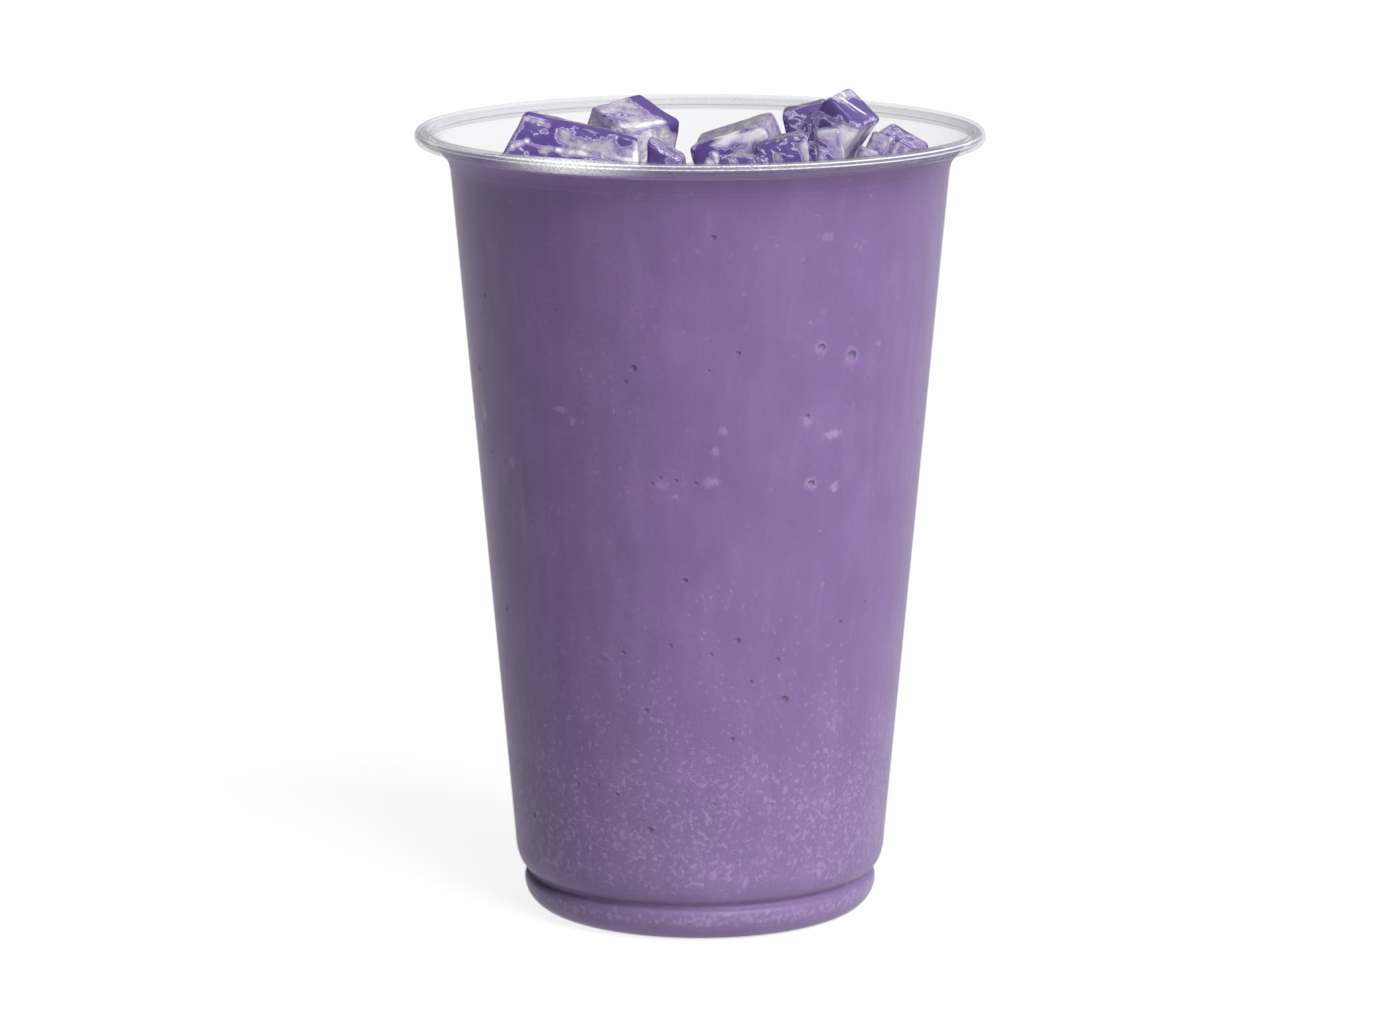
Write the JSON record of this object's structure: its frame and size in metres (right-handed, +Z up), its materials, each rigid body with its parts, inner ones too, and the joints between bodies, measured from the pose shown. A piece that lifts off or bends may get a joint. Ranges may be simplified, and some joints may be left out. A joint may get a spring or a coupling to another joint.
{
  "type": "iced taro milk tea in a clear cup",
  "caption": "Opaque purple taro milk tea filling a tapered clear plastic cup with a rolled rim, with melting ice cubes standing out of its top.",
  "frame": {"origin": "centre of the cup's foot, on the surface that the cup stands on", "axes": "+Z up along the cup's axis, -Y to the front that the picture shows, +X to the right"},
  "size_m": [0.095, 0.095, 0.138],
  "materials": {
    "clear_plastic": "clear, glossy, slightly frosted at the rolled rim",
    "taro_drink": "opaque, wet, finely mottled with small pits and pale flecks",
    "ice": "clear, wet and melted smooth, with white cloud and bubbles"
  },
  "bodies": {
    "root": {"cup": "clear_plastic", "drink": "taro_drink", "ice_left": "ice", "ice_back_left": "ice", "ice_splinter": "ice", "ice_middle": "ice", "ice_front": "ice", "ice_front_right": "ice", "ice_back_right": "ice", "ice_tall": "ice", "ice_chip_front": "ice", "ice_chip_side": "ice", "ice_chip_rim": "ice", "ice_right": "ice"}
  },
  "joints": []
}
